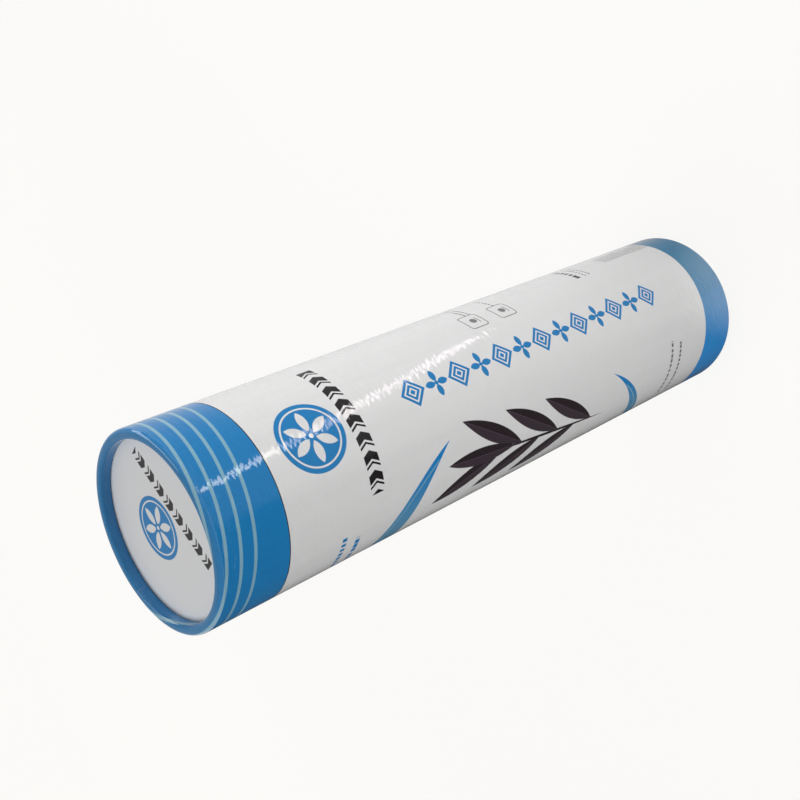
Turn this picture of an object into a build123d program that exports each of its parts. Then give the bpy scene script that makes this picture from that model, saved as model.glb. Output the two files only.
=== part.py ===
"""Round paper tube with a flush lift-off lid, standing on its base rim.

The tube is wound from card. Its body and its lid have the same outside
diameter, and both end in a rim that is rolled inward and tucked under. A card
disc lies behind each rolled rim. An inner tube stands on the base disc, lines
the body and rises above it as the neck that the lid slides over.

The origin is at the centre of the base rim's resting ring, +Z along the axis
towards the lid. Lengths are in millimetres.
"""

import os

from build123d import *

os.makedirs("parts", exist_ok=True)

# Overall sizes of the closed tube
outer_diameter = 76.0
total_length = 313.0
lid_height = 29.0
seam_gap = 0.3

# Wound card of the body and the lid
wall = 1.2

# Rolled rims: the hollow inside the roll, the depth of the tucked end below the
# crest, and the shares of the rim's width that the round at the outer side of the
# pressed crest and the bevel at its tucked side take up
roll_hollow = 1.6
rim_depth = 4.5
rim_round_share = 0.5
tuck_bevel_share = 0.35

# Card discs behind the rims
disc_thickness = 1.5
disc_gap = 0.1

# Inner tube that lines the body and makes the neck
neck_wall = 1.2
neck_clearance = 0.15
mouth_gap = 1.8
neck_edge_share = 0.3

# Radii that the pieces share
outer_radius = outer_diameter / 2
bore_radius = outer_radius - wall
rim_width = roll_hollow + 2 * wall
rim_inner_radius = outer_radius - rim_width
rim_round = rim_round_share * rim_width
tuck_bevel = tuck_bevel_share * rim_width
disc_radius = bore_radius - disc_gap
neck_radius = bore_radius - neck_clearance
neck_bore_radius = neck_radius - neck_wall

# Heights that the pieces share, from the resting ring upwards
base_crest_z = 0.0
base_roll_z = base_crest_z + wall
base_disc_z = base_crest_z + rim_depth
neck_foot_z = base_disc_z + disc_thickness
lid_crest_z = total_length
lid_roll_z = lid_crest_z - wall
lid_edge_z = lid_crest_z - lid_height
body_edge_z = lid_edge_z - seam_gap
lid_disc_top_z = lid_crest_z - rim_depth
lid_disc_z = lid_disc_top_z - disc_thickness
neck_mouth_z = lid_disc_z - mouth_gap


def rolled_wall(cut_edge_z, crest_z, roll_z, tuck_z):
    """Return the section of a tube wall whose end is rolled inward.

    The outline runs along the wall from its cut edge, over the crest, down the
    tucked end, and back one wall thickness behind it, with the hollow of the roll
    ending at the height roll_z.
    """
    with BuildSketch(Plane.XZ) as section:
        with BuildLine():
            Polyline(
                (outer_radius, cut_edge_z),
                (outer_radius, crest_z),
                (rim_inner_radius, crest_z),
                (rim_inner_radius, tuck_z),
                (rim_inner_radius + wall, tuck_z),
                (rim_inner_radius + wall, roll_z),
                (bore_radius, roll_z),
                (bore_radius, cut_edge_z),
                close=True,
            )
        make_face()
    return section.sketch


# Body: straight wall, cut square at the top, rolled rim at the base with its crest
# rounded on the outer side and bevelled on the tucked side
with BuildPart() as body_tube:
    revolve(rolled_wall(body_edge_z, base_crest_z, base_roll_z, base_disc_z), axis=Axis.Z)
    fillet(body_tube.edges().group_by(Axis.Z)[0].sort_by(SortBy.RADIUS)[-1], radius=rim_round)
    chamfer(body_tube.edges().group_by(Axis.Z)[0].sort_by(SortBy.RADIUS)[0], length=tuck_bevel)
body_tube.part.label = "body_tube"
export_step(body_tube.part, "parts/body_tube.step")

# Base disc: lies on the tucked end of the base rim
with BuildPart() as base_disc:
    with BuildSketch(Plane.XY.offset(base_disc_z)):
        Circle(disc_radius)
    extrude(amount=disc_thickness)
base_disc.part.label = "base_disc"
export_step(base_disc.part, "parts/base_disc.step")

# Inner tube: stands on the base disc and rises above the body as the neck,
# with its mouth edges rubbed down
with BuildPart() as inner_tube:
    with BuildSketch(Plane.XY.offset(neck_foot_z)):
        Circle(neck_radius)
        Circle(neck_bore_radius, mode=Mode.SUBTRACT)
    extrude(amount=neck_mouth_z - neck_foot_z)
    chamfer(inner_tube.edges().group_by(Axis.Z)[-1], length=neck_edge_share * neck_wall)
inner_tube.part.label = "inner_tube"
export_step(inner_tube.part, "parts/inner_tube.step")

# Lid: short wall, cut square at the seam, rolled rim at the top with the same
# round and bevel as the base rim
with BuildPart() as lid_tube:
    revolve(rolled_wall(lid_edge_z, lid_crest_z, lid_roll_z, lid_disc_top_z), axis=Axis.Z)
    fillet(lid_tube.edges().group_by(Axis.Z)[-1].sort_by(SortBy.RADIUS)[-1], radius=rim_round)
    chamfer(lid_tube.edges().group_by(Axis.Z)[-1].sort_by(SortBy.RADIUS)[0], length=tuck_bevel)
lid_tube.part.label = "lid_tube"
export_step(lid_tube.part, "parts/lid_tube.step")

# Lid disc: lies against the tucked end of the lid's rim
with BuildPart() as lid_disc:
    with BuildSketch(Plane.XY.offset(lid_disc_z)):
        Circle(disc_radius)
    extrude(amount=disc_thickness)
lid_disc.part.label = "lid_disc"
export_step(lid_disc.part, "parts/lid_disc.step")
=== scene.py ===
"""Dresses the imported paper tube: printed paper wraps, card pieces, studio and camera."""

import logging
import math
from dataclasses import dataclass
from enum import Enum
from typing import Any, Optional, Union

import bmesh
import bpy
from mathutils import Matrix, Vector


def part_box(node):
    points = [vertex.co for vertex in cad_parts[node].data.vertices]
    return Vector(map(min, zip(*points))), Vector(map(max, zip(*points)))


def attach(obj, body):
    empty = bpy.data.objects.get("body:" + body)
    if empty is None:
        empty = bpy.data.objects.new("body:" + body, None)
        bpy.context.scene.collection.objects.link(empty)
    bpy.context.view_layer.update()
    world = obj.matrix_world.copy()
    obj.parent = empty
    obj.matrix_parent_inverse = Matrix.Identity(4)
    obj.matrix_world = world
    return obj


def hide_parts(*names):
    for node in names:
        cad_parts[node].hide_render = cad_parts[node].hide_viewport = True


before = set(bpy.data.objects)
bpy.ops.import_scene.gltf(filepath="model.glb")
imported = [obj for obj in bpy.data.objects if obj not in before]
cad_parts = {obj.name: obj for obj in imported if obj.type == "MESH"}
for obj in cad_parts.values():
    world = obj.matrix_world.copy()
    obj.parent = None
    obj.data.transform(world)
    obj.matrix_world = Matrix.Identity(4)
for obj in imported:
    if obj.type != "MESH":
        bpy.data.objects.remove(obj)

LOG = logging.getLogger("paper_tube")

# Meshes and lamps are in metres, prints and reliefs in millimetres
MM = 0.001
PER_METRE = 1000.0

# Azimuth of the middle of the body's print, in degrees
PRINT_FRONT = 58.1

# Width over which the edge of printed ink fades, in millimetres
INK_EDGE = 0.1

# Numbers of the Mix node's colour sockets
MIX_UNDER = 6
MIX_OVER = 7
MIX_RESULT = 2

Colour = tuple[float, float, float]
Pair = tuple[float, float]
Point = tuple[float, float]
Place = tuple[float, float, float]
Socket = bpy.types.NodeSocket
Operand = Union["Value", float]
Tint = Union[Socket, Colour]
Layer = tuple["Value", Tint]
Owner = Union[bpy.types.Material, bpy.types.World]


def around(azimuth: float, reach: float = 1.0, height: float = 0.0) -> Vector:
    """Return a place beside the tube's axis.

    Args:
        azimuth: Degrees round +Z, 0 towards -Y and 90 towards +X.
        reach: Distance from the axis.
        height: Height above the base rim.

    Returns:
        The place, or a level unit vector if only the azimuth is given.
    """
    angle = math.radians(azimuth)
    return Vector((reach * math.sin(angle), -reach * math.cos(angle), height))


def add_object(name: str, data: bpy.types.ID) -> bpy.types.Object:
    """Put a new object in the scene.

    Args:
        name: The object's name.
        data: Its mesh, light or camera.

    Returns:
        The new object.
    """
    made = bpy.data.objects.new(name, data)
    bpy.context.scene.collection.objects.link(made)
    return made


def add_shape(name: str, shape: bmesh.types.BMesh) -> bpy.types.Object:
    """Put a finished shape in the scene.

    Args:
        name: Name of the object and of its mesh.
        shape: The shape, which is freed.

    Returns:
        The new object.
    """
    mesh = bpy.data.meshes.new(name)
    shape.to_mesh(mesh)
    shape.free()
    return add_object(name, mesh)


class Ink(Enum):
    """Colours of the paper, the card and the print, as linear reflectance; some are darker to paint shade.
    """

    WHITE_PAPER = (0.800, 0.800, 0.795)
    BLUE = (0.014, 0.218, 0.525)
    BRIGHT_BLUE = (0.006, 0.215, 0.560)
    BAND_BLUE = (0.030, 0.290, 0.720)
    # Painted shade: the darker, duller blue of the foot band's shaded side
    BAND_SHADE_BLUE = (0.018, 0.195, 0.370)
    FADED_BLUE = (0.120, 0.330, 0.520)
    PALE_STRIPE = (0.245, 0.465, 0.590)
    STRETCHED_BLUE = (0.110, 0.360, 0.640)
    # Painted shade: the darker blue laid over the lid rim's crest
    CREST_SHADE_BLUE = (0.024, 0.178, 0.385)
    BLACK = (0.017, 0.015, 0.017)
    PLUM = (0.026, 0.018, 0.022)
    PLUM_LIGHT = (0.090, 0.066, 0.086)
    GREY = (0.190, 0.190, 0.195)
    DISC_WHITE = (0.790, 0.790, 0.790)
    RAW_CARD = (0.560, 0.530, 0.480)
    # Partly painted shade: the cut card's brown, made darker so the seam between lid and body shows as a
    # dark line
    CUT_EDGE = (0.160, 0.090, 0.080)
    NECK_WHITE = (0.740, 0.725, 0.690)


class Value:
    """A number that varies over a surface; arithmetic on it adds Math nodes."""

    def __init__(self, graph: "Graph", socket: Socket) -> None:
        """Wrap one output socket of a graph's node."""
        self.graph = graph
        self.socket = socket

    def __add__(self, other: Operand) -> "Value":
        """Return the sum."""
        return self.graph.math("ADD", self, other)

    __radd__ = __add__

    def __sub__(self, other: Operand) -> "Value":
        """Return the difference."""
        return self.graph.math("SUBTRACT", self, other)

    def __rsub__(self, other: Operand) -> "Value":
        """Return the difference from a number."""
        return self.graph.math("SUBTRACT", other, self)

    def __mul__(self, other: Operand) -> "Value":
        """Return the product."""
        return self.graph.math("MULTIPLY", self, other)

    __rmul__ = __mul__

    def __truediv__(self, other: Operand) -> "Value":
        """Return the quotient."""
        return self.graph.math("DIVIDE", self, other)

    def __rtruediv__(self, other: Operand) -> "Value":
        """Return a number divided by this value."""
        return self.graph.math("DIVIDE", other, self)

    def __neg__(self) -> "Value":
        """Return the value with its sign changed."""
        return self.graph.math("MULTIPLY", self, -1.0)

    def __abs__(self) -> "Value":
        """Return the size of the value."""
        return self.graph.math("ABSOLUTE", self)

    def at_least(self, other: Operand) -> "Value":
        """Return the larger of the two."""
        return self.graph.math("MAXIMUM", self, other)

    def at_most(self, other: Operand) -> "Value":
        """Return the smaller of the two."""
        return self.graph.math("MINIMUM", self, other)

    def sine(self) -> "Value":
        """Return the sine of the value in radians."""
        return self.graph.math("SINE", self)

    def cosine(self) -> "Value":
        """Return the cosine of the value in radians."""
        return self.graph.math("COSINE", self)

    def whole(self) -> "Value":
        """Return the next whole number below."""
        return self.graph.math("FLOOR", self)

    def root(self) -> "Value":
        """Return the square root."""
        return self.graph.math("SQRT", self)

    def within(self, pitch: float) -> "Value":
        """Return the place inside a repeat of this pitch, from minus to plus half of it."""
        return self.graph.math("WRAP", self, pitch / 2, -pitch / 2)

    def inside(self, softness: float = INK_EDGE) -> "Value":
        """Return 1 where a signed distance is negative, with a soft edge of that width."""
        return self.graph.math("MULTIPLY_ADD", self, -0.5 / softness, 0.5, clamp=True)

    def ease(self, start: float, end: float) -> "Value":
        """Return a smooth step.

        Args:
            start: Where the step is still 0.
            end: Where the step has come to 1.

        Returns:
            The step, from 0 to 1.
        """
        node = self.graph.node(
            "ShaderNodeMapRange",
            {"interpolation_type": "SMOOTHSTEP"},
            {"Value": self, "From Min": start, "From Max": end},
        )
        return Value(self.graph, node.outputs["Result"])


class Graph:
    """The node tree of a material or of the surroundings, with methods that add its nodes."""

    def __init__(self, owner: Owner, output: str) -> None:
        """Empty the owner's tree and add its output node.

        Args:
            owner: The material or the surroundings that the tree belongs to.
            output: The output node's type.
        """
        owner.use_nodes = True
        self.owner = owner
        self.tree = owner.node_tree
        self.tree.nodes.clear()
        self.output = self.node(output, {}, {})

    @classmethod
    def of_material(cls, name: str) -> "Graph":
        """Return the graph of a new material."""
        return cls(bpy.data.materials.new(name), "ShaderNodeOutputMaterial")

    def node(self, kind: str, settings: dict[str, Any], sockets: dict[Any, Any]) -> bpy.types.Node:
        """Add a node.

        Args:
            kind: The node's type.
            settings: Its properties, which are set first.
            sockets: Values or links of its inputs, by name or number.

        Returns:
            The new node.
        """
        made = self.tree.nodes.new(kind)
        for key, setting in settings.items():
            setattr(made, key, setting)
        for key, given in sockets.items():
            source = given.socket if isinstance(given, Value) else given
            if isinstance(source, Socket):
                self.tree.links.new(source, made.inputs[key])
            else:
                made.inputs[key].default_value = source
        return made

    def math(self, operation: str, *operands: Operand, clamp: bool = False) -> Value:
        """Add a Math node.

        Args:
            operation: The node's operation.
            operands: Values or numbers for its inputs, in order.
            clamp: Whether the result is kept from 0 to 1.

        Returns:
            The node's result.
        """
        settings = {"operation": operation, "use_clamp": clamp}
        made = self.node("ShaderNodeMath", settings, dict(enumerate(operands)))
        return Value(self, made.outputs[0])

    def scaled(self, vector: Tint, factor: Operand) -> Socket:
        """Return a vector or a colour times a factor."""
        sockets = {0: vector, "Scale": factor}
        return self.node("ShaderNodeVectorMath", {"operation": "SCALE"}, sockets).outputs["Vector"]

    def position(self) -> Socket:
        """Return the place on the piece in millimetres, as a vector."""
        return self.scaled(self.node("ShaderNodeTexCoord", {}, {}).outputs["Object"], PER_METRE)

    def axes(self, place: Socket) -> list[Value]:
        """Return a place's x, y and z."""
        made = self.node("ShaderNodeSeparateXYZ", {}, {0: place})
        return [Value(self, socket) for socket in made.outputs]

    def along(self, vector: Socket, direction: Vector) -> Value:
        """Measure a vector along a fixed direction.

        Args:
            vector: The vector.
            direction: A unit vector.

        Returns:
            The vector's length that way.
        """
        sockets = {0: vector, 1: direction}
        made = self.node("ShaderNodeVectorMath", {"operation": "DOT_PRODUCT"}, sockets)
        return Value(self, made.outputs["Value"])

    def attribute(self, name: str) -> Value:
        """Return a number that the mesh carries at its vertices."""
        made = self.node("ShaderNodeAttribute", {"attribute_name": name}, {})
        return Value(self, made.outputs["Fac"])

    def vector(self, x: Operand, y: Operand, z: Operand) -> Socket:
        """Return three values joined to a vector."""
        return self.node("ShaderNodeCombineXYZ", {}, {0: x, 1: y, 2: z}).outputs[0]

    def chance(self, seed: Value) -> Value:
        """Return a number from 0 to 1 that differs for each whole number."""
        made = self.node("ShaderNodeTexWhiteNoise", {"noise_dimensions": "1D"}, {"W": seed})
        return Value(self, made.outputs["Value"])

    def mix(self, share: Value, under: Tint, over: Tint) -> Socket:
        """Lay one colour over another.

        Args:
            share: How much of the upper colour shows.
            under: The lower colour.
            over: The upper colour.

        Returns:
            The mixed colour.
        """
        lower, upper = ((*tint, 1.0) if isinstance(tint, tuple) else tint for tint in (under, over))
        sockets = {"Factor": share, MIX_UNDER: lower, MIX_OVER: upper}
        return self.node("ShaderNodeMix", {"data_type": "RGBA"}, sockets).outputs[MIX_RESULT]

    def bump(self, relief: Value, height: float) -> Socket:
        """Return a normal tilted by a relief, whose 1 stands for a height in metres."""
        return self.node("ShaderNodeBump", {}, {"Height": relief, "Distance": height}).outputs["Normal"]

    def finish(self, sockets: dict[str, Any]) -> bpy.types.Material:
        """Close the material with a Principled shader that has these inputs."""
        return self.close(self.node("ShaderNodeBsdfPrincipled", {}, sockets))

    def close(self, shader: bpy.types.Node) -> Owner:
        """Link the last shader to the output and return the tree's owner."""
        self.tree.links.new(shader.outputs[0], self.output.inputs["Surface"])
        return self.owner


@dataclass(frozen=True)
class Noise:
    """A soft noise from 0 to 1: its cells per unit of length and its finer octaves."""

    cells: float = 1.0
    detail: float = 1.0

    def at(self, graph: Graph, place: Socket) -> Value:
        """Return the noise at a place."""
        sockets = {"Vector": place, "Scale": self.cells, "Detail": self.detail}
        return Value(graph, graph.node("ShaderNodeTexNoise", {}, sockets).outputs[0])


@dataclass(frozen=True)
class LongNoise:
    """A soft noise with cells of one size round a tube and another up it, in millimetres."""

    across: float
    up: float
    detail: float = 1.0

    def at(self, u: Value, v: Value) -> Value:
        """Return the noise at a place on the unrolled paper."""
        place = u.graph.vector(u / self.across, v / self.up, 0.0)
        return Noise(detail=self.detail).at(u.graph, place)


class Shapes:
    """Signed distances of flat printed shapes in millimetres, negative inside."""

    @staticmethod
    def moved(u: Value, v: Value, centre: Point, turn: float = 0.0) -> tuple[Value, Value]:
        """Return coordinates about a centre.

        Args:
            u: Coordinate across.
            v: Coordinate up.
            centre: The new origin.
            turn: Degrees by which the new axes are turned counter-clockwise.

        Returns:
            The new coordinates.
        """
        x, y = u - centre[0], v - centre[1]
        if not turn:
            return x, y
        c, s = math.cos(math.radians(turn)), math.sin(math.radians(turn))
        return x * c + y * s, y * c - x * s

    @staticmethod
    def reach(u: Value, v: Value) -> Value:
        """Return the distance from the centre."""
        return (u * u + v * v).root()

    @staticmethod
    def box(u: Value, v: Value, width: float, height: float) -> Value:
        """Return the distance from a box about the centre."""
        return (abs(u) - width / 2).at_least(abs(v) - height / 2)

    @staticmethod
    def round_box(u: Value, v: Value, size: float, corner: float) -> Value:
        """Return the distance from a square with round corners about the centre."""
        x, y = ((abs(place) - (size / 2 - corner)).at_least(0.0) for place in (u, v))
        return Shapes.reach(x, y) - corner

    @staticmethod
    def leaf(u: Value, v: Value, length: float, width: float) -> Value:
        """Return the distance from a leaf that lies along u between two arcs."""
        radius = (length**2 + width**2) / (4 * width)
        return Shapes.reach(u, abs(v) + (radius - width / 2)) - radius


@dataclass(frozen=True, kw_only=True)
class Motif:
    """A printed figure about a place on the paper; lengths in millimetres, turns in degrees."""

    place: Point
    turn: float = 0.0

    def lay(self, ink: Tint, u: Value, v: Value) -> Socket:
        """Lay the figure on the paper.

        Args:
            ink: Colour of the paper with what is printed so far.
            u: Coordinate across the paper.
            v: Coordinate up the paper.

        Returns:
            The colour with the figure on it.
        """
        for mask, over in self.layers(*Shapes.moved(u, v, self.place, self.turn)):
            ink = u.graph.mix(mask, ink, over)
        return ink

    def layers(self, x: Value, y: Value) -> list[Layer]:
        """Return the masks and colours that make up the figure about its place, lowest first."""
        raise NotImplementedError


@dataclass(frozen=True, kw_only=True)
class ChevronRow(Motif):
    """A dark row of thick and thin arrow bars."""

    length: float = 59.0
    height: float = 6.6
    pitch: float = 7.375
    lean: float = 0.55
    thick: float = 3.3
    thin: float = 0.9
    gap: float = 2.9

    def layers(self, x: Value, y: Value) -> list[Layer]:
        """Print the bars.

        Args:
            x: Coordinate along the row.
            y: Coordinate across it.

        Returns:
            The bars' mask and colour.
        """
        shifted = x + abs(y) * self.lean
        bold = abs(shifted.within(self.pitch)) - self.thick / 2
        fine = abs((shifted + self.gap).within(self.pitch)) - self.thin / 2
        ends = Shapes.box(x, y, self.length, self.height)
        return [(bold.at_most(fine).at_least(ends).inside(), Ink.BLACK.value)]


@dataclass(frozen=True, kw_only=True)
class Roundel(Motif):
    """A blue medallion with a ring and a rosette in the colour of its paper."""

    paper: Ink = Ink.WHITE_PAPER
    diameter: float = 27.7
    petals: int = 6
    ring_share: float = 0.84
    ring_width_share: float = 0.05
    petal_share: float = 0.62
    petal_width_share: float = 0.27
    heart_share: float = 0.13

    def layers(self, x: Value, y: Value) -> list[Layer]:
        """Print the field and the lines on it.

        Args:
            x: Coordinate across from the centre.
            y: Coordinate up from the centre.

        Returns:
            The masks and colours of the field and the lines.
        """
        radius = self.diameter / 2
        reach = Shapes.reach(x, y)
        fold = x.graph.math("ARCTAN2", y, x).within(2 * math.pi / self.petals)
        length = self.petal_share * radius
        out = reach * fold.cosine() - (self.heart_share * radius + length / 2)
        petal = Shapes.leaf(out, reach * fold.sine(), length, self.petal_width_share * radius)
        ring = abs(reach - self.ring_share * radius) - self.ring_width_share * radius / 2
        heart = reach - self.heart_share * radius / 2
        lines = petal.at_most(ring).at_most(heart)
        return [((reach - radius).inside(), Ink.BLUE.value), (lines.inside(), self.paper.value)]


@dataclass(frozen=True, kw_only=True)
class OrnamentColumn(Motif):
    """A blue column of quilted diamonds and four-petal flowers that stands on its place."""

    count: int = 13
    pitch: float = 12.8
    width: float = 12.4
    line: float = 0.9
    quilt_shares: Pair = (0.66, 0.28)
    petal_length: float = 5.2
    petal_width: float = 2.9
    petal_reach_share: float = 0.62

    def layers(self, x: Value, y: Value) -> list[Layer]:
        """Print diamonds and flowers in turn.

        Args:
            x: Coordinate across from the column's middle.
            y: Coordinate up from its foot.

        Returns:
            The column's mask and colour.
        """
        rise = y - self.pitch / 2
        odd = x.graph.math("PINGPONG", (rise / self.pitch + 0.5).whole(), 1.0)
        up = rise.within(self.pitch)
        half = self.width / 2
        spread = abs(x) + abs(up)
        diamond = spread - half
        for share in self.quilt_shares:
            diamond = diamond.at_least(self.line / 2 - abs(spread - half * share))
        far, near = abs(x).at_least(abs(up)), abs(x).at_most(abs(up))
        out = far - self.petal_length * self.petal_reach_share
        flower = Shapes.leaf(out, near, self.petal_length, self.petal_width)
        flower = flower.at_most(Shapes.reach(x, up) - self.line)
        height = self.count * self.pitch
        ends = Shapes.box(x, y - height / 2, self.width, height)
        shape = diamond * (1.0 - odd) + flower * odd
        return [(shape.at_least(ends).inside(), Ink.BLUE.value)]


@dataclass(frozen=True, kw_only=True)
class Crescent(Motif):
    """A blue crescent that widens from its tip between two arcs and closes again past their ends."""

    outer_end: Point
    inner_end: Point
    bulge: float
    tail: float = 80.0
    line_inset: float = 2.2
    line: float = 0.5

    def _beyond(self, x: Value, y: Value, end: Point) -> Value:
        """Measure from the arc that joins the tip and an end.

        Args:
            x: Coordinate across from the tip.
            y: Coordinate up from the tip.
            end: The arc's end, seen from the tip.

        Returns:
            The distance outside the arc's circle.
        """
        chord = Vector(end)
        aside = Vector((chord.y, -chord.x)).normalized() * math.copysign(self.bulge, -chord.y)
        centre = chord / 2 + aside
        return Shapes.reach(*Shapes.moved(x, y, centre)) - centre.length

    def layers(self, x: Value, y: Value) -> list[Layer]:
        """Print the field, which fades from the tip, and a pale line along its back.

        Args:
            x: Coordinate across from the tip.
            y: Coordinate up from the tip.

        Returns:
            The masks and colours of the field and the line.
        """
        outer, inner = (self._beyond(x, y, end) for end in (self.outer_end, self.inner_end))
        past = (self.outer_end[0] - x).at_least(0.0)
        field = outer.at_least(past * past / self.tail - inner)
        line = (abs(outer + self.line_inset) - self.line / 2).at_least(field + self.line)
        faded = x.ease(0.0, self.outer_end[0])
        blue = x.graph.mix(faded, Ink.BRIGHT_BLUE.value, Ink.FADED_BLUE.value)
        return [(field.inside(), blue), (line.inside(), Ink.PALE_STRIPE.value)]


@dataclass(frozen=True, kw_only=True)
class Sprig(Motif):
    """A dark sprig: a leaning stem with leaves on both sides and one at its tip."""

    lean: float = 83.0
    length: float = 84.0
    stem: float = 1.4
    leaf_length: float = 40.0
    leaf_width: float = 7.6
    spread: float = 24.0
    pairs: int = 3
    first_share: float = 0.12
    rib: float = 0.45
    rib_share: float = 0.7
    lit_share: float = 0.35

    @staticmethod
    def _ray(turn: float, length: float) -> Vector:
        """Return the place at the end of a line that leaves the foot at a turn."""
        return Vector((math.cos(math.radians(turn)), math.sin(math.radians(turn)))) * length

    def _leaves(self) -> list[tuple[Vector, float]]:
        """Spread the leaves along the stem.

        Returns:
            Each leaf's middle and turn, from the foot to the tip.
        """
        half = self.leaf_length / 2
        count = 2 * self.pairs
        made = []
        for number in range(count):
            share = self.first_share + (1.0 - self.first_share) * number / count
            turn = self.lean + self.spread * (1 if number % 2 else -1)
            made.append((self._ray(self.lean, share * self.length) + self._ray(turn, half), turn))
        return made + [(self._ray(self.lean, self.length), self.lean)]

    def layers(self, x: Value, y: Value) -> list[Layer]:
        """Print the stem, then each leaf with its rib and its lit half.

        Args:
            x: Coordinate across from the stem's foot.
            y: Coordinate up from the stem's foot.

        Returns:
            The masks and colours of the stem and the leaves.
        """
        middle = self._ray(self.lean, self.length / 2)
        stem = Shapes.leaf(*Shapes.moved(x, y, middle, self.lean), self.length, self.stem)
        made = [(stem.inside(), Ink.PLUM.value)]
        for centre, turn in self._leaves():
            along, aside = Shapes.moved(x, y, centre, turn)
            blade = Shapes.leaf(along, aside, self.leaf_length, self.leaf_width)
            lit = blade.at_least(-aside).inside() * self.lit_share
            rib = (abs(aside) - self.rib / 2).at_least(blade + self.rib).inside() * self.rib_share
            made.append((blade.inside(), Ink.PLUM.value))
            made.append((lit.at_least(rib), Ink.PLUM_LIGHT.value))
        return made


@dataclass(frozen=True, kw_only=True)
class FramedMark(Motif):
    """A small grey mark in a round-cornered frame: a dot over a bar."""

    size: float = 10.0
    line: float = 0.5
    corner: float = 1.6
    dot_radius: float = 1.7
    bar_drop: float = 2.6
    bar_width: float = 4.4

    def layers(self, x: Value, y: Value) -> list[Layer]:
        """Print the frame, the dot and the bar.

        Args:
            x: Coordinate across from the frame's middle.
            y: Coordinate up from the frame's middle.

        Returns:
            The mark's mask and colour.
        """
        outline = abs(Shapes.round_box(x, y, self.size, self.corner)) - self.line / 2
        dot = Shapes.reach(x, y) - self.dot_radius
        bar = Shapes.box(x, y + self.bar_drop, self.bar_width, self.line)
        return [(outline.at_most(dot).at_most(bar).inside(), Ink.GREY.value)]


@dataclass(frozen=True, kw_only=True)
class DashedRule(Motif):
    """A rule of uneven dashes."""

    length: float
    pitch: float
    height: float
    ink: Ink = Ink.GREY
    dash_share: float = 0.55
    uneven_share: float = 0.4

    def layers(self, x: Value, y: Value) -> list[Layer]:
        """Print the dashes.

        Args:
            x: Coordinate along the rule from its middle.
            y: Coordinate across it.

        Returns:
            The rule's mask and colour.
        """
        seed = (x / self.pitch).whole() + self.place[1]
        share = self.dash_share + self.uneven_share * x.graph.chance(seed)
        dash = abs(x.within(self.pitch)) - self.pitch / 2 * share
        ends = Shapes.box(x, y, self.length, self.height)
        return [(dash.at_least(ends).inside(), self.ink.value)]


@dataclass(frozen=True, kw_only=True)
class HatchedBlock(Motif):
    """A block of fine dark bars, one above the other."""

    width: float = 9.0
    height: float = 36.0
    pitch: float = 1.5
    bar: float = 0.44

    def layers(self, x: Value, y: Value) -> list[Layer]:
        """Print the bars.

        Args:
            x: Coordinate across from the block's middle.
            y: Coordinate up from the block's middle.

        Returns:
            The bars' mask and colour.
        """
        bars = abs(y.within(self.pitch)) - self.bar / 2
        ends = Shapes.box(x, y, self.width, self.height)
        return [(bars.at_least(ends).inside(), Ink.BLACK.value)]


@dataclass(frozen=True)
class Unrolled:
    """Coordinates of a tube's wrap, laid flat: millimetres, and the azimuth in radians.

    u runs round from the middle of the print, v up from the base, and past_lap round from the lap.
    """

    graph: Graph
    place: Socket
    azimuth: Value
    u: Value
    v: Value
    past_lap: Value

    @classmethod
    def of_tube(cls, graph: Graph, radius: float, lap_azimuth: float) -> "Unrolled":
        """Cut the wrap open at its lap.

        Args:
            graph: The wrap's material.
            radius: The tube's radius in metres.
            lap_azimuth: Where the wrap's outer edge lies, in degrees.

        Returns:
            The coordinates.
        """
        place = graph.position()
        middle = lap_azimuth + 180.0
        across, front = graph.along(place, around(middle + 90.0)), graph.along(place, around(middle))
        angle = graph.math("ARCTAN2", across, front)
        radius_mm = radius / MM
        return cls(
            graph=graph,
            place=place,
            azimuth=angle + math.radians(middle),
            u=(angle + math.radians(middle - PRINT_FRONT)) * radius_mm,
            v=graph.axes(place)[2],
            past_lap=(angle + math.pi) * radius_mm,
        )


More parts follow.
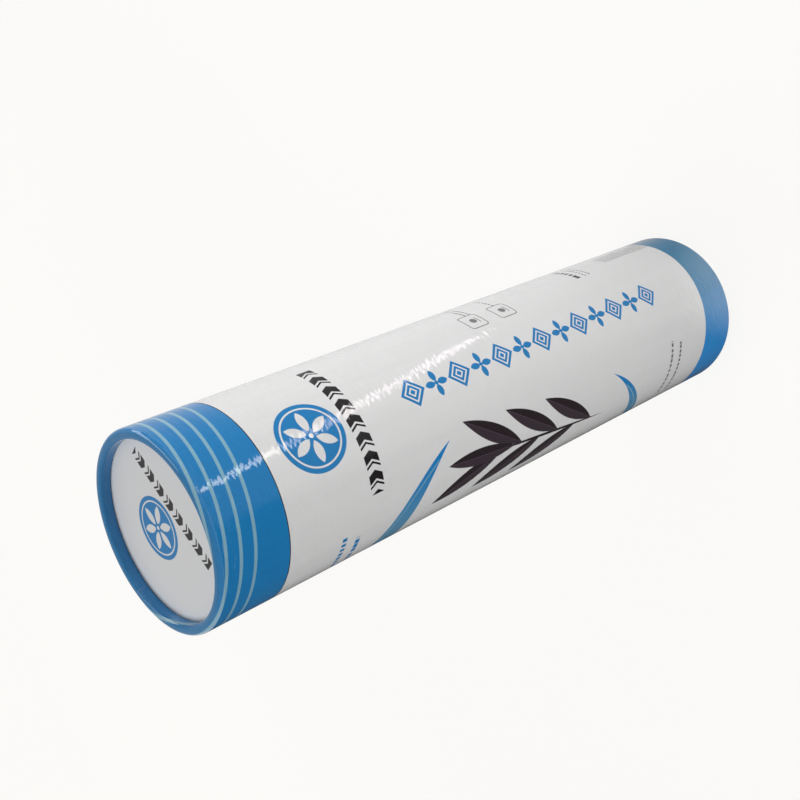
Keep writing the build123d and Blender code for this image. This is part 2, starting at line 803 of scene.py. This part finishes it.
@dataclass(frozen=True)
class BodyPrint:
    """The body's print; places are round the tube from the middle of the print and up from the base."""

    band_top: float = 21.8
    band_rise: float = 3.2
    band_crest: float = -50.0
    foot_shade_azimuth: float = 110.0
    foot_shade_range: Pair = (-0.45, 0.9)
    motifs: tuple[Motif, ...] = (
        Crescent(place=(-22.0, 203.8), outer_end=(-37.0, 34.0), inner_end=(-37.0, 21.0), bulge=55.0),
        Crescent(place=(-27.0, 98.8), outer_end=(-32.0, -30.0), inner_end=(-32.0, -22.0), bulge=50.0),
        Sprig(place=(-45.5, 102.3)),
        Roundel(place=(0.0, 262.2)),
        ChevronRow(place=(0.3, 242.7)),
        OrnamentColumn(place=(0.3, 52.0)),
        FramedMark(place=(21.6, 157.3)),
        FramedMark(place=(21.6, 139.2)),
        DashedRule(place=(34.0, 156.3), length=14.0, pitch=2.1, height=0.9),
        DashedRule(place=(34.0, 153.7), length=14.0, pitch=1.7, height=0.9),
        DashedRule(place=(33.0, 138.7), length=12.0, pitch=1.9, height=0.9),
        DashedRule(place=(-40.0, 52.0), length=30.0, pitch=2.6, height=1.5),
        DashedRule(place=(-41.0, 45.0), length=28.0, pitch=2.3, height=1.5),
        DashedRule(place=(-51.0, 258.0), length=18.5, pitch=2.6, height=2.2, ink=Ink.BLUE),
        DashedRule(place=(-53.0, 251.0), length=16.0, pitch=2.9, height=2.2, ink=Ink.BLUE),
        DashedRule(place=(31.0, 82.3), length=15.0, pitch=2.4, height=2.6, ink=Ink.BLACK),
        DashedRule(place=(31.0, 77.3), length=15.0, pitch=1.8, height=1.0),
        DashedRule(place=(31.0, 74.3), length=15.0, pitch=1.6, height=1.0),
        HatchedBlock(place=(33.0, 37.3)),
    )

    def colour(self, wrap: Unrolled) -> Socket:
        """Print the figures, then the slanted band at the foot, darker and duller on one side as painted
        shade.

        Args:
            wrap: The wrap's coordinates.

        Returns:
            The printed paper's colour.
        """
        ink = Ink.WHITE_PAPER.value
        for motif in self.motifs:
            ink = motif.lay(ink, wrap.u, wrap.v)
        edge = wrap.v - (wrap.azimuth - math.radians(self.band_crest)).cosine() * self.band_rise
        # Painted shade: the band darkens to a duller blue on the side round azimuth 110
        foot_shade = (wrap.azimuth - math.radians(self.foot_shade_azimuth)).cosine().ease(*self.foot_shade_range)
        band = wrap.graph.mix(foot_shade, Ink.BAND_BLUE.value, Ink.BAND_SHADE_BLUE.value)
        return wrap.graph.mix((edge - self.band_top).inside(), ink, band)


@dataclass(frozen=True)
class WrapPaper:
    """Varnished printing paper glued round a tube; sizes in millimetres."""

    name: str
    roughness: float = 0.04
    roughness_change: float = 0.03
    specular: float = 0.5
    ripple: LongNoise = LongNoise(across=5.5, up=1.9)
    ripple_height: float = 0.15
    fibre: Noise = Noise(cells=3.0, detail=3.0)
    fibre_height: float = 0.002
    mottle: Noise = Noise(cells=0.12, detail=3.0)
    mottle_shade: float = 0.03
    grain: Noise = Noise(cells=1.3, detail=2.0)
    grain_shade: float = 0.03
    bands: LongNoise = LongNoise(across=5.0, up=160.0)
    band_shade: float = 0.06
    lap_azimuth: float = -107.5
    lap_line: float = 0.18
    lap_line_share: float = 0.5
    lap_width: float = 9.0
    lap_height: float = 0.09

    def material(self, radius: float) -> bpy.types.Material:
        """Return the paper's material for a tube of this radius in metres."""
        wrap = Unrolled.of_tube(Graph.of_material(self.name), radius, self.lap_azimuth)
        return self._varnished(wrap, self._printed(wrap))

    def _printed(self, wrap: Unrolled) -> Socket:
        """Return the colour of the paper with its print."""
        raise NotImplementedError

    def _relief(self, wrap: Unrolled) -> Value:
        """Raise the paper's ripple and fibres, and its lap.

        Args:
            wrap: The wrap's coordinates.

        Returns:
            The relief, whose 1 stands for the ripple's height.
        """
        ripple = self.ripple.at(wrap.u, wrap.v)
        fibre = self.fibre.at(wrap.graph, wrap.place) * (self.fibre_height / self.ripple_height)
        lap = 1.0 - wrap.past_lap.ease(self.lap_width - self.lap_line, self.lap_width + self.lap_line)
        return ripple + fibre + lap * (self.lap_height / self.ripple_height)

    def _varnished(self, wrap: Unrolled, ink: Socket) -> bpy.types.Material:
        """Finish the material with the paper's lap line, mottle, ripple and varnish.

        Args:
            wrap: The wrap's coordinates.
            ink: Colour of the printed paper.

        Returns:
            The finished material.
        """
        graph = wrap.graph
        line = (abs(wrap.past_lap) - self.lap_line / 2).inside() * self.lap_line_share
        ink = graph.mix(line, ink, Ink.WHITE_PAPER.value)
        mottle = self.mottle.at(graph, wrap.place)
        grain = self.grain.at(graph, wrap.place)
        bands = self.bands.at(wrap.u, wrap.v)
        even = 1.0 - (self.mottle_shade + self.grain_shade + self.band_shade) / 2
        shade = even + self.mottle_shade * mottle + self.grain_shade * grain + self.band_shade * bands
        return graph.finish({
            "Base Color": graph.scaled(ink, shade),
            "Roughness": self.roughness + self.roughness_change * mottle,
            "Normal": graph.bump(self._relief(wrap), self.ripple_height * MM),
            "Specular IOR Level": self.specular,
        })


@dataclass(frozen=True)
class BodyPaper(WrapPaper):
    """White printed wrap of the body with a blue band at its foot."""

    name: str = "body_paper"

    def _printed(self, wrap: Unrolled) -> Socket:
        """Return the colour of the paper with its print."""
        return BodyPrint().colour(wrap)


@dataclass(frozen=True)
class LidPaper(WrapPaper):
    """Blue wrap of the lid with four pale slanted stripes, its rim's crest darkened by painted shade and
    streaked with wear.

    Stripes lie by their run over the rim, and each wave of their slant has a height and a crest's azimuth.
    """

    name: str = "lid_paper"
    grain_shade: float = 0.24
    stripe_runs: tuple[float, ...] = (2.96, 8.81, 14.69, 20.62)
    stripe_width: float = 1.3
    stripe_edge: float = 0.15
    waves: tuple[Pair, ...] = ((6.13, 158.0), (0.91, 41.8), (0.21, -1.9))
    crest_range: Pair = (0.4, 3.0)
    crest_shade_share: float = 0.75
    wear: LongNoise = LongNoise(across=12.0, up=0.35, detail=3.0)
    wear_range: Pair = (0.45, 0.75)
    wear_share: float = 0.3

    def _printed(self, wrap: Unrolled) -> Socket:
        """Darken the blue at the crest with painted shade, streak it with wear and lay the stripes on it.

        Args:
            wrap: The wrap's coordinates.

        Returns:
            The colour of the paper with its print.
        """
        graph = wrap.graph
        run = graph.attribute("run") * PER_METRE
        crest = 1.0 - abs(run).ease(*self.crest_range)
        wear = self.wear.at(wrap.u, run).ease(*self.wear_range)
        # Painted shade: this mix darkens the rim's crest
        ink = graph.mix(crest * self.crest_shade_share, Ink.BLUE.value, Ink.CREST_SHADE_BLUE.value)
        ink = graph.mix(crest * wear * self.wear_share, ink, Ink.STRETCHED_BLUE.value)
        level = run
        for number, (height, top) in enumerate(self.waves, start=1):
            level = level - ((wrap.azimuth - math.radians(top)) * number).cosine() * height
        for middle in self.stripe_runs:
            stripe = abs(level - middle) - self.stripe_width / 2
            ink = graph.mix(stripe.inside(self.stripe_edge), ink, Ink.PALE_STRIPE.value)
        return ink


@dataclass(frozen=True)
class CardStock:
    """Card with fibres and soft clouds; sizes in millimetres."""

    name: str
    fibre: Noise
    cloud: Noise
    darkest: float
    fibre_shade: float
    cloud_shade: float
    roughness: float
    roughness_change: float
    fibre_height: float
    specular: float

    def _pressed(self, graph: Graph, ink: Tint, place: Socket, groove: Operand) -> bpy.types.Material:
        """Finish the material with the card's fibres and clouds.

        Args:
            graph: The card's material.
            ink: Colour of the card.
            place: Where the card is, in millimetres.
            groove: Depth of what is pressed into it, in heights of its fibres.

        Returns:
            The finished material.
        """
        fibre, cloud = self.fibre.at(graph, place), self.cloud.at(graph, place)
        shade = self.darkest + self.cloud_shade * cloud + self.fibre_shade * fibre
        return graph.finish({
            "Base Color": graph.scaled(ink, shade),
            "Roughness": self.roughness + self.roughness_change * fibre,
            "Normal": graph.bump(fibre - groove, self.fibre_height * MM),
            "Specular IOR Level": self.specular,
        })


@dataclass(frozen=True, kw_only=True)
class RawCard(CardStock):
    """Uncoated card of the cut edges and the insides of the tubes, with a spiral ply seam."""

    colour: Ink
    fibre: Noise = Noise(cells=2.2, detail=4.0)
    cloud: Noise = Noise(cells=0.15, detail=2.0)
    darkest: float = 0.93
    fibre_shade: float = 0.06
    cloud_shade: float = 0.08
    roughness: float = 0.72
    roughness_change: float = 0.12
    fibre_height: float = 0.02
    specular: float = 0.3
    ply_rise: float = 62.0
    seam_width: float = 0.3
    seam_share: float = 0.35
    groove_edge: float = 0.15
    groove_share: float = 0.8

    def material(self) -> bpy.types.Material:
        """Wind the ply seam round the tube's axis.

        Returns:
            The card's material.
        """
        graph = Graph.of_material(self.name)
        place = graph.position()
        x, y, up = graph.axes(place)
        turns = graph.math("ARCTAN2", x, -y) / (2 * math.pi)
        seam = abs((up - turns * self.ply_rise).within(self.ply_rise)) - self.seam_width / 2
        ink = graph.mix(seam.inside() * self.seam_share, self.colour.value, Ink.RAW_CARD.value)
        return self._pressed(graph, ink, place, self.groove_share * seam.inside(self.groove_edge))


@dataclass(frozen=True, kw_only=True)
class DiscCard(CardStock):
    """White card of an end disc, with any print on its face."""

    motifs: tuple[Motif, ...] = ()
    right_azimuth: float = 9.0
    fibre: Noise = Noise(cells=2.5, detail=3.0)
    cloud: Noise = Noise(cells=0.08, detail=2.0)
    darkest: float = 0.975
    fibre_shade: float = 0.015
    cloud_shade: float = 0.03
    roughness: float = 0.3
    roughness_change: float = 0.1
    fibre_height: float = 0.004
    specular: float = 0.5

    def material(self) -> bpy.types.Material:
        """Print the disc's face.

        Returns:
            The card's material.
        """
        graph = Graph.of_material(self.name)
        place = graph.position()
        u = graph.along(place, around(self.right_azimuth))
        v = graph.along(place, around(self.right_azimuth + 90.0))
        ink = Ink.DISC_WHITE.value
        for motif in self.motifs:
            ink = motif.lay(ink, u, v)
        return self._pressed(graph, ink, place, 0.0)


@dataclass(frozen=True, kw_only=True)
class LidDiscCard(DiscCard):
    """White card of the lid's disc, printed with a roundel and a dark row."""

    name: str = "lid_disc_paper"
    motifs: tuple[Motif, ...] = (
        Roundel(place=(-4.2, -1.3), turn=-34.1, diameter=23.8, paper=Ink.DISC_WHITE),
        ChevronRow(
            place=(5.5, 11.1), turn=-34.1, length=50.0, height=4.8, pitch=6.25, thick=2.8, thin=0.8, gap=2.5,
        ),
    )


class RolledEnd(Enum):
    """Which end of a tube is rolled inward: its direction along Z."""

    TOP = 1.0
    BASE = -1.0


class WallFace(Enum):
    """The sides of a rolled wall, by their material's number."""

    PAPER = 0
    INSIDE = 1
    CUT_EDGE = 2


@dataclass
class RolledTube:
    """A wound card tube with one end rolled inward and tucked; lengths in metres."""

    name: str
    node: str
    body: str
    slot: str
    rolled: RolledEnd
    wall: float = 1.2 * MM
    rim_width: float = 4.0 * MM
    rim_depth: float = 4.3 * MM
    rim_round: float = 2.0 * MM
    tuck_round: float = 1.4 * MM
    edge_round: float = 0.05 * MM
    slack: float = 0.3 * MM
    merge_reach: float = 0.001 * MM
    steps: int = 256
    round_segments: int = 8
    sharp_angle: float = 40.0

    def __post_init__(self) -> None:
        """Take the tube's radius and ends from the CAD node."""
        low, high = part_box(self.node)
        self.radius = (high.x - low.x) / 2
        top = self.rolled is RolledEnd.TOP
        self.crest = high.z if top else low.z
        self.cut = low.z if top else high.z

    def section(self) -> list[Point]:
        """Draw the wall's section.

        Returns:
            Its corners as radius and height, from the cut edge outside.
        """
        up = self.rolled.value
        inner = self.radius - self.rim_width
        tuck = self.crest - up * self.rim_depth
        under = self.crest - up * self.wall
        return [
            (self.radius, self.cut),
            (self.radius, self.crest),
            (inner, self.crest),
            (inner, tuck),
            (inner + self.wall, tuck),
            (inner + self.wall, under),
            (self.radius - self.wall, under),
            (self.radius - self.wall, self.cut),
        ]

    def build(self) -> bpy.types.Object:
        """Turn the section about the axis into a closed wall.

        Returns:
            The new object, riding its body and standing for its CAD node.
        """
        shape = bmesh.new()
        corners = [shape.verts.new((r, 0.0, z)) for r, z in self.section()]
        for start, end in zip(corners, corners[1:] + corners[:1]):
            shape.edges.new((start, end))
        self._round(shape, corners[1:2], self.rim_round, self.round_segments)
        self._round(shape, corners[2:3], self.tuck_round, self.round_segments)
        self._round(shape, corners[0:1] + corners[7:8], self.edge_round, 1)
        bmesh.ops.spin(
            shape, geom=shape.verts[:] + shape.edges[:], cent=(0, 0, 0), axis=(0, 0, 1),
            angle=2 * math.pi, steps=self.steps, use_merge=True, use_duplicate=False,
        )
        bmesh.ops.remove_doubles(shape, verts=shape.verts, dist=self.merge_reach)
        bmesh.ops.recalc_face_normals(shape, faces=shape.faces)
        self._measure(shape)
        for face in shape.faces:
            face.smooth = True
            face.material_index = self._side(face).value
        made = add_shape(self.name, shape)
        made.data.set_sharp_from_angle(angle=math.radians(self.sharp_angle))
        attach(made, self.body)
        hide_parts(self.node)
        return made

    @staticmethod
    def _round(shape: bmesh.types.BMesh, corners: list[bmesh.types.BMVert], size: float, count: int) -> None:
        """Round corners of the section's line.

        Args:
            shape: The section.
            corners: The corners to round.
            size: How far the round reaches along the line.
            count: Segments of the round.
        """
        bmesh.ops.bevel(
            shape, geom=corners, offset=size, offset_type="OFFSET", affect="VERTICES",
            segments=count, profile=0.5, material=-1,
        )

    def _measure(self, shape: bmesh.types.BMesh) -> None:
        """Store each vertex's run over the rolled rim from the middle of its crest.

        Args:
            shape: The wall.
        """
        layer = shape.verts.layers.float.new("run")
        flat = (self.rim_width - self.rim_round - self.tuck_round) / 2
        middle = self.radius - self.rim_round - flat
        for vert in shape.verts:
            across = vert.co.xy.length - middle
            bend = self.rim_round if across > 0 else self.tuck_round
            drop = abs(self.crest - vert.co.z)
            over = abs(across) - flat
            if over <= 0:
                run = abs(across)
            elif drop < bend:
                run = flat + bend * math.atan2(over, bend - drop)
            else:
                run = flat + bend * (math.pi / 2 - 1.0) + drop
            vert[layer] = math.copysign(run, across)

    def _side(self, face: bmesh.types.BMFace) -> WallFace:
        """Tell the sides of the wall apart.

        Args:
            face: A face of the wall.

        Returns:
            The side that the face is on.
        """
        centre = face.calc_center_median()
        reach = centre.xy.length
        if abs(centre.z - self.cut) < self.edge_round:
            return WallFace.CUT_EDGE
        outside = reach > self.radius - self.slack
        rim = abs(centre.z - self.crest) < self.wall - self.slack
        tucked = reach < self.radius - self.rim_width + self.slack
        return WallFace.PAPER if outside or rim or tucked else WallFace.INSIDE

    def dress(self, made: bpy.types.Object, paper: WrapPaper, finishes: dict[WallFace, RawCard]) -> None:
        """Give the wall its paper outside and its card inside and at the cut edge.

        Args:
            made: The wall.
            paper: The wrap's finish.
            finishes: The card's finish on each side that the paper leaves bare.
        """
        made.data.materials.append(paper.material(self.radius))
        for side in (WallFace.INSIDE, WallFace.CUT_EDGE):
            made.data.materials.append(finishes[side].material())


@dataclass
class CardPiece:
    """A CAD piece that keeps its own mesh and gets a card finish."""

    node: str

    def dress(self, card: Union[RawCard, DiscCard]) -> bpy.types.Object:
        """Give the CAD piece one card finish all over.

        Args:
            card: The finish.

        Returns:
            The CAD piece.
        """
        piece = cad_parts[self.node]
        piece.data.materials.clear()
        piece.data.materials.append(card.material())
        return piece


@dataclass(frozen=True)
class SoftLamp:
    """A rectangular lamp aimed at the tube; lengths in metres, power in watts."""

    name: str
    place: Vector
    aim: Vector
    width: float
    height: float
    power: float
    colour: Colour = (1.0, 1.0, 1.0)
    gloss_only: bool = False
    roll_to: Optional[Vector] = None

    def build(self) -> bpy.types.Object:
        """Hang the lamp: gloss mirrors it, or it lights what is matt.

        Returns:
            The lamp.
        """
        data = bpy.data.lights.new(self.name, "AREA")
        data.shape = "RECTANGLE"
        data.size = self.width
        data.size_y = self.height
        data.energy = self.power
        data.color = self.colour
        lamp = add_object(self.name, data)
        back = (self.place - self.aim).normalized()
        side = (self.roll_to or Vector((0, 0, 1)).cross(back)).normalized()
        side = (side - back * side.dot(back)).normalized()
        turn = Matrix((side, back.cross(side), back)).transposed()
        lamp.matrix_world = Matrix.Translation(self.place) @ turn.to_4x4()
        lamp.visible_camera = False
        lamp.visible_diffuse = not self.gloss_only
        lamp.visible_glossy = self.gloss_only
        return lamp


@dataclass(frozen=True)
class StripLight:
    """A bent strip light beside the tube that only gloss mirrors; lengths in metres.

    Each stretch from one place to the next has its width, the height it is aimed at, its radiance and tint.
    """

    places: tuple[Place, ...] = (
        (0.545, -0.240, 0.030), (0.375, -0.104, 0.030), (0.253, 0.002, 0.030), (0.162, 0.047, 0.030),
    )
    widths: tuple[float, ...] = (0.037, 0.026, 0.016)
    aims: tuple[float, ...] = (0.285, 0.235, 0.185)
    radiances: tuple[float, ...] = (8.2, 6.2, 5.4)
    tints: tuple[Colour, ...] = ((1.0, 0.98, 0.90), (1.0, 0.85, 0.88), (1.0, 0.84, 0.90))

    def lamps(self) -> list[SoftLamp]:
        """Make each stretch a straight lamp.

        Returns:
            The lamps.
        """
        made = []
        for number, width in enumerate(self.widths):
            start, end = (Vector(place) for place in self.places[number:number + 2])
            length = (end - start).length
            made.append(SoftLamp(
                f"strip_{number}", (start + end) / 2, Vector((0, 0, self.aims[number])), length, width,
                power=self.radiances[number] * math.pi * length * width,
                colour=self.tints[number], gloss_only=True, roll_to=end - start,
            ))
        return made


@dataclass(frozen=True)
class GlossCard:
    """A glowing card round the tube's foot that only gloss mirrors, a painted reflection: dark on one side,
    grey on the other.

    Angles are azimuths in degrees, the reaches of the light patch are in millimetres.
    """

    name: str = "gloss_card"
    radius: float = 0.9
    lift: float = 0.5 * MM
    segments: int = 64
    dark: Colour = (0.06, 0.06, 0.06)
    grey: Colour = (0.38, 0.38, 0.38)
    pale: Colour = (0.74, 0.74, 0.74)
    glow: Colour = (1.70, 1.70, 1.62)
    grey_middle: float = 131.0
    grey_half: float = 104.0
    edge_half: float = 4.0
    pale_start: float = 95.0
    pale_end: float = 172.0
    glow_middle: float = 47.0
    glow_inner: float = 8.0
    glow_outer: float = 52.0
    glow_near: float = 40.0
    glow_far: float = 66.0

    def build(self) -> bpy.types.Object:
        """Lay the card on the floor.

        Returns:
            The card.
        """
        shape = bmesh.new()
        place = Matrix.Translation((0, 0, self.lift))
        bmesh.ops.create_circle(
            shape, cap_ends=True, segments=self.segments, radius=self.radius, matrix=place,
        )
        card = add_shape(self.name, shape)
        card.data.materials.append(self._material())
        card.visible_camera = False
        card.visible_diffuse = False
        card.visible_shadow = False
        card.visible_transmission = False
        return card

    def _material(self) -> bpy.types.Material:
        """Grade the card by azimuth, with a light patch near the tube that paints a highlight on the band.

        Returns:
            The card's glowing material.
        """
        graph = Graph.of_material(self.name)
        x, y, _ = graph.axes(graph.position())
        azimuth = graph.math("ARCTAN2", x, -y) * math.degrees(1.0)
        turned = (azimuth - self.grey_middle).within(360.0)
        grey = 1.0 - abs(turned).ease(self.grey_half - self.edge_half, self.grey_half + self.edge_half)
        paler = turned.ease(self.pale_start - self.grey_middle, self.pale_end - self.grey_middle)
        aside = abs((azimuth - self.glow_middle).within(360.0)).ease(self.glow_inner, self.glow_outer)
        away = Shapes.reach(x, y).ease(self.glow_near, self.glow_far)
        # Painted reflection: the dark sector stands in for shade beside the tube, the glowing patch for a
        # soft highlight on the blue band
        colour = graph.mix(grey, self.dark, graph.mix(paler, self.grey, self.pale))
        colour = graph.mix((1.0 - aside) * (1.0 - away), colour, self.glow)
        return graph.close(graph.node("ShaderNodeEmission", {}, {"Color": colour}))


@dataclass(frozen=True)
class Studio:
    """Pale floor, even surroundings and lamps of the product shot; lengths in metres."""

    backdrop: Colour = (0.965, 0.956, 0.939)
    floor_colour: Colour = (0.40, 0.40, 0.40)
    floor_size: float = 12.0
    shadow_share: float = 0.18
    shadow_lift: float = 0.14
    shadow_near: float = 0.35
    shadow_far: float = 1.1
    fill: Colour = (0.268, 0.268, 0.268)
    mirrored: Colour = (0.48, 0.48, 0.48)
    lid_height: float = 0.31
    key_height: float = 0.262
    front_height: float = 0.15
    back_height: float = 0.12

    def build(self) -> None:
        """Add the floor, the surroundings and the lamps."""
        self._floor()
        GlossCard().build()
        self._surroundings()
        for lamp in self._lamps() + StripLight().lamps():
            lamp.build()

    def _lamps(self) -> list[SoftLamp]:
        """Set the lamps round the tube.

        Returns:
            The lamps.
        """
        lid, key, front, back = (
            Vector((0, 0, height))
            for height in (self.lid_height, self.key_height, self.front_height, self.back_height)
        )
        return [
            SoftLamp(
                "key", around(azimuth=112.0, reach=0.55) + key, key,
                width=0.75, height=0.25, power=2.55,
            ),
            SoftLamp(
                "front_fill", around(azimuth=2.0, reach=0.65) + front, front,
                width=0.75, height=0.24, power=1.85,
            ),
            SoftLamp(
                "back_fill", around(azimuth=228.0, reach=1.3) + back, back,
                width=0.9, height=0.2, power=4.2,
            ),
            SoftLamp(
                "left", around(azimuth=255.0, reach=0.55, height=1.75), lid,
                width=0.8, height=0.8, power=11.8,
            ),
            SoftLamp(
                "panel", around(azimuth=165.0, reach=0.9, height=0.95), lid,
                width=0.34, height=1.3, power=4.4, gloss_only=True,
            ),
            SoftLamp(
                "shelf", around(azimuth=98.0, reach=0.9, height=0.58), lid,
                width=0.8, height=0.12, power=0.66, gloss_only=True,
            ),
        ]

    def _surroundings(self) -> None:
        """Light the scene evenly, and show gloss and the camera their own colours."""
        graph = Graph(bpy.data.worlds.new("surroundings"), "ShaderNodeOutputWorld")
        path = graph.node("ShaderNodeLightPath", {}, {})
        lit = self._sky(graph, self.fill)
        for ray, colour in (
            ("Is Glossy Ray", self.mirrored),
            ("Is Transmission Ray", self.backdrop),
            ("Is Camera Ray", self.backdrop),
        ):
            skies = {0: path.outputs[ray], 1: lit.outputs[0], 2: self._sky(graph, colour).outputs[0]}
            lit = graph.node("ShaderNodeMixShader", {}, skies)
        bpy.context.scene.world = graph.close(lit)

    @staticmethod
    def _sky(graph: Graph, colour: Colour) -> bpy.types.Node:
        """Return the shader of even surroundings of one colour."""
        return graph.node("ShaderNodeBackground", {}, {"Color": (*colour, 1.0)})

    def _floor(self) -> None:
        """Lay the floor under the base rim."""
        shape = bmesh.new()
        bmesh.ops.create_grid(shape, x_segments=1, y_segments=1, size=self.floor_size / 2)
        floor = add_shape("floor", shape)
        floor.data.materials.append(self._floor_material())

    def _floor_material(self) -> bpy.types.Material:
        """Show the backdrop's colour on the floor and keep a soft shadow near the tube.

        Returns:
            The floor's material.
        """
        graph = Graph.of_material("floor")
        x, y, _ = graph.axes(graph.position())
        fade = 1.0 - Shapes.reach(x, y).ease(self.shadow_near * PER_METRE, self.shadow_far * PER_METRE)
        path = graph.node("ShaderNodeLightPath", {}, {})
        camera, gloss, through = (
            Value(graph, path.outputs[f"Is {kind} Ray"]) for kind in ("Camera", "Glossy", "Transmission")
        )
        seen = camera.at_least(gloss).at_least(through)
        matt = graph.node("ShaderNodeBsdfDiffuse", {}, {"Color": (*self.floor_colour, 1.0)})
        lifted = tuple(channel * (1.0 + self.shadow_lift) for channel in self.backdrop)
        glow = graph.node("ShaderNodeEmission", {}, {"Color": graph.mix(fade, self.backdrop, lifted)})
        share = seen * (1.0 - fade * self.shadow_share)
        shaders = {0: share, 1: matt.outputs[0], 2: glow.outputs[0]}
        return graph.close(graph.node("ShaderNodeMixShader", {}, shaders))


@dataclass(frozen=True)
class Viewpoint:
    """Camera of the product shot: angles in degrees, lengths in metres, lens in millimetres."""

    name: str = "product_view"
    azimuth: float = 44.05
    reach: float = 0.35546
    height: float = 0.48202
    heading: float = 40.874
    look_down: float = 39.885
    roll: float = -111.739
    lens: float = 50.064
    sensor: float = 36.0
    shift: Pair = (0.00259, -0.03138)

    def build(self) -> bpy.types.Object:
        """Add the camera and make it the scene's.

        Returns:
            The camera.
        """
        data = bpy.data.cameras.new(self.name)
        data.lens = self.lens
        data.sensor_width = self.sensor
        data.shift_x, data.shift_y = self.shift
        camera = add_object(self.name, data)
        turn = Matrix.Rotation(math.radians(self.heading), 4, "Z")
        tilt = Matrix.Rotation(math.radians(90.0 - self.look_down), 4, "X")
        roll = Matrix.Rotation(math.radians(self.roll), 4, "Z")
        place = Matrix.Translation(around(self.azimuth, self.reach, self.height))
        camera.matrix_world = place @ turn @ tilt @ roll
        bpy.context.scene.camera = camera
        return camera


def main() -> None:
    """Build the dressed tube, the studio and the camera in order."""
    logging.basicConfig(level=logging.INFO, format="%(message)s")
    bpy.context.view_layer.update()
    bare = {
        WallFace.INSIDE: RawCard(name="raw_card", colour=Ink.RAW_CARD),
        WallFace.CUT_EDGE: RawCard(name="cut_edge_and_gap_shade", colour=Ink.CUT_EDGE),
    }
    lid = RolledTube("lid_wrap", "lid_tube", "lid", "lid_paper", RolledEnd.TOP)
    body = RolledTube("body_wrap", "body_tube", "body", "body_paper", RolledEnd.BASE)
    for tube, paper in ((lid, LidPaper()), (body, BodyPaper())):
        made = tube.build()
        tube.dress(made, paper, bare)
        LOG.info("%s: %d faces", made.name, len(made.data.polygons))
    for node, card in (
        ("lid_disc", LidDiscCard()),
        ("base_disc", DiscCard(name="base_disc_paper")),
        ("inner_tube", RawCard(name="neck_card", colour=Ink.NECK_WHITE)),
    ):
        piece = CardPiece(node).dress(card)
        LOG.info("%s: dressed as %s", piece.name, card.name)
    Studio().build()
    Viewpoint().build()
    bpy.context.scene.view_settings.view_transform = "Standard"
    bpy.context.view_layer.update()


if __name__ == "__main__":
    main()
